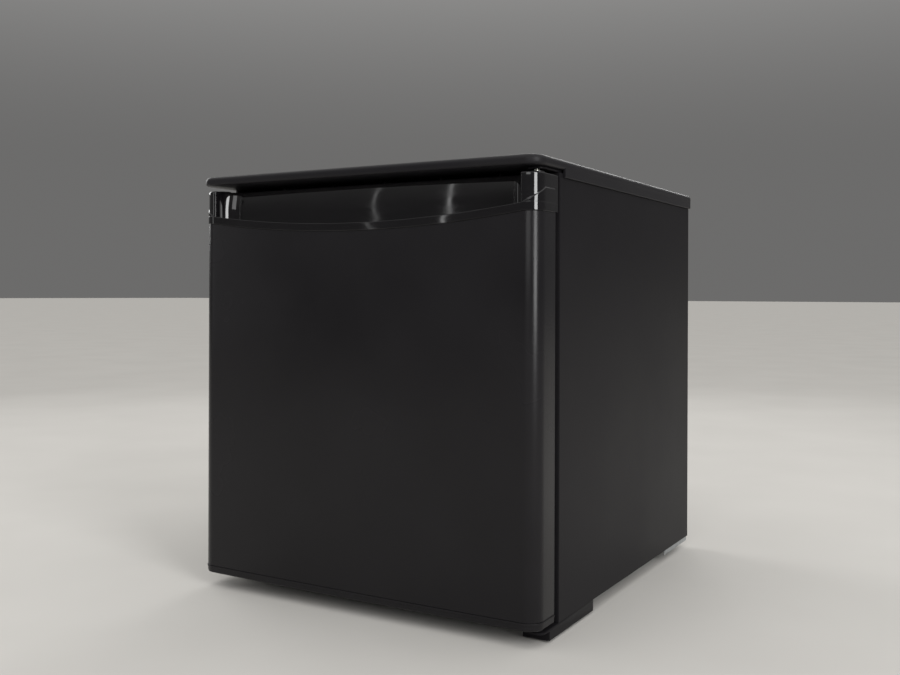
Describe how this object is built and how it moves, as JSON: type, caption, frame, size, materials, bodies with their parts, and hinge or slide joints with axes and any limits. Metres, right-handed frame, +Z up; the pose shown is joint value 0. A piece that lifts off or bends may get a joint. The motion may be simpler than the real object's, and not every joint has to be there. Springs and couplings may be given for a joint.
{
  "type": "compact refrigerator",
  "caption": "Compact black refrigerator with a moulded worktop, a right-hinged door with a scooped handle in its top edge, and a fitted interior.",
  "frame": {"origin": "on the floor, in the middle of the whole outline", "axes": "+X to the right seen from the front, -Y out of the door, +Z up"},
  "size_m": [0.4566, 0.5052, 0.4985],
  "materials": {
    "black_steel": "satin black paint, finely textured",
    "black_moulded": "black, fine grain",
    "gloss_black": "glossy black",
    "galvanised": "galvanised",
    "black_paint": "semi-gloss black paint",
    "white_liner": "white, slightly glossy",
    "white_wire": "white coating over steel wire",
    "clear_rack": "pale clear",
    "foam": "rigid foam, fine cells",
    "rubber": "matt",
    "gasket_grey": "soft, matt",
    "copper": "drawn copper tube",
    "aluminium": "plain sheet",
    "zinc_steel": "zinc plated",
    "nylon": "black"
  },
  "bodies": {
    "cabinet": {"back_panel": "black_steel", "base_pan": "black_steel", "cabinet_insulation": "foam", "cabinet_shell": "black_steel", "capillary_tube": "copper", "cold_plate": "aluminium", "compressor": "black_paint", "compressor_base_plate": "galvanised", "compressor_grommet_1": "rubber", "compressor_grommet_2": "rubber", "compressor_grommet_3": "rubber", "compressor_grommet_4": "rubber", "condenser_coil": "copper", "cord_gland": "black_moulded", "discharge_pipe": "copper", "drain_tube": "white_liner", "drier_link": "copper", "drip_trough": "white_liner", "evaporation_tray": "black_moulded", "filter_drier": "copper", "foot_bracket_left": "black_steel", "front_plinth": "black_moulded", "full_shelf": "white_wire", "half_shelf": "white_wire", "hinge_bracket_lower": "black_steel", "hinge_bracket_upper": "black_steel", "hinge_pin_lower": "zinc_steel", "hinge_pin_upper": "zinc_steel", "inner_liner": "white_liner", "rear_foot_left": "rubber", "rear_foot_right": "rubber", "relay_box": "black_moulded", "suction_pipe": "copper", "thermostat_housing": "white_liner", "thermostat_switch": "zinc_steel", "worktop": "black_moulded"},
    "door": {"door_panel": "black_steel", "door_top_trim": "gloss_black", "door_bottom_cap": "black_moulded", "door_insulation": "foam", "door_liner": "white_liner", "door_gasket": "gasket_grey", "bottle_bin": "clear_rack", "bottle_rail": "white_wire", "can_dispenser": "clear_rack", "upper_bin": "clear_rack", "hinge_bush_lower": "nylon", "hinge_bush_upper": "nylon", "door_plug_lower": "black_moulded", "door_plug_upper": "black_moulded"},
    "dial": {"thermostat_dial": "white_liner"},
    "right_foot": {"foot_stud_right": "zinc_steel", "foot_pad_right": "black_moulded"},
    "left_foot": {"foot_stud_left": "zinc_steel", "foot_pad_left": "black_moulded"}
  },
  "joints": [
    {"name": "door_hinge", "type": "hinge", "parent": "cabinet", "child": "door", "pos_m": [0.213, -0.22615, 0.2496], "axis": [0, 0, 1], "range_deg": [0, 120]},
    {"name": "thermostat_turn", "type": "hinge", "parent": "cabinet", "child": "dial", "pos_m": [0.143, -0.07245, 0.4162], "axis": [0, 1, 0], "range_deg": [0, 300]},
    {"name": "right_foot_travel", "type": "slide", "parent": "cabinet", "child": "right_foot", "axis": [0, 0, -1], "range_m": [0, 0.012]},
    {"name": "left_foot_travel", "type": "slide", "parent": "cabinet", "child": "left_foot", "axis": [0, 0, -1], "range_m": [0, 0.012]}
  ]
}
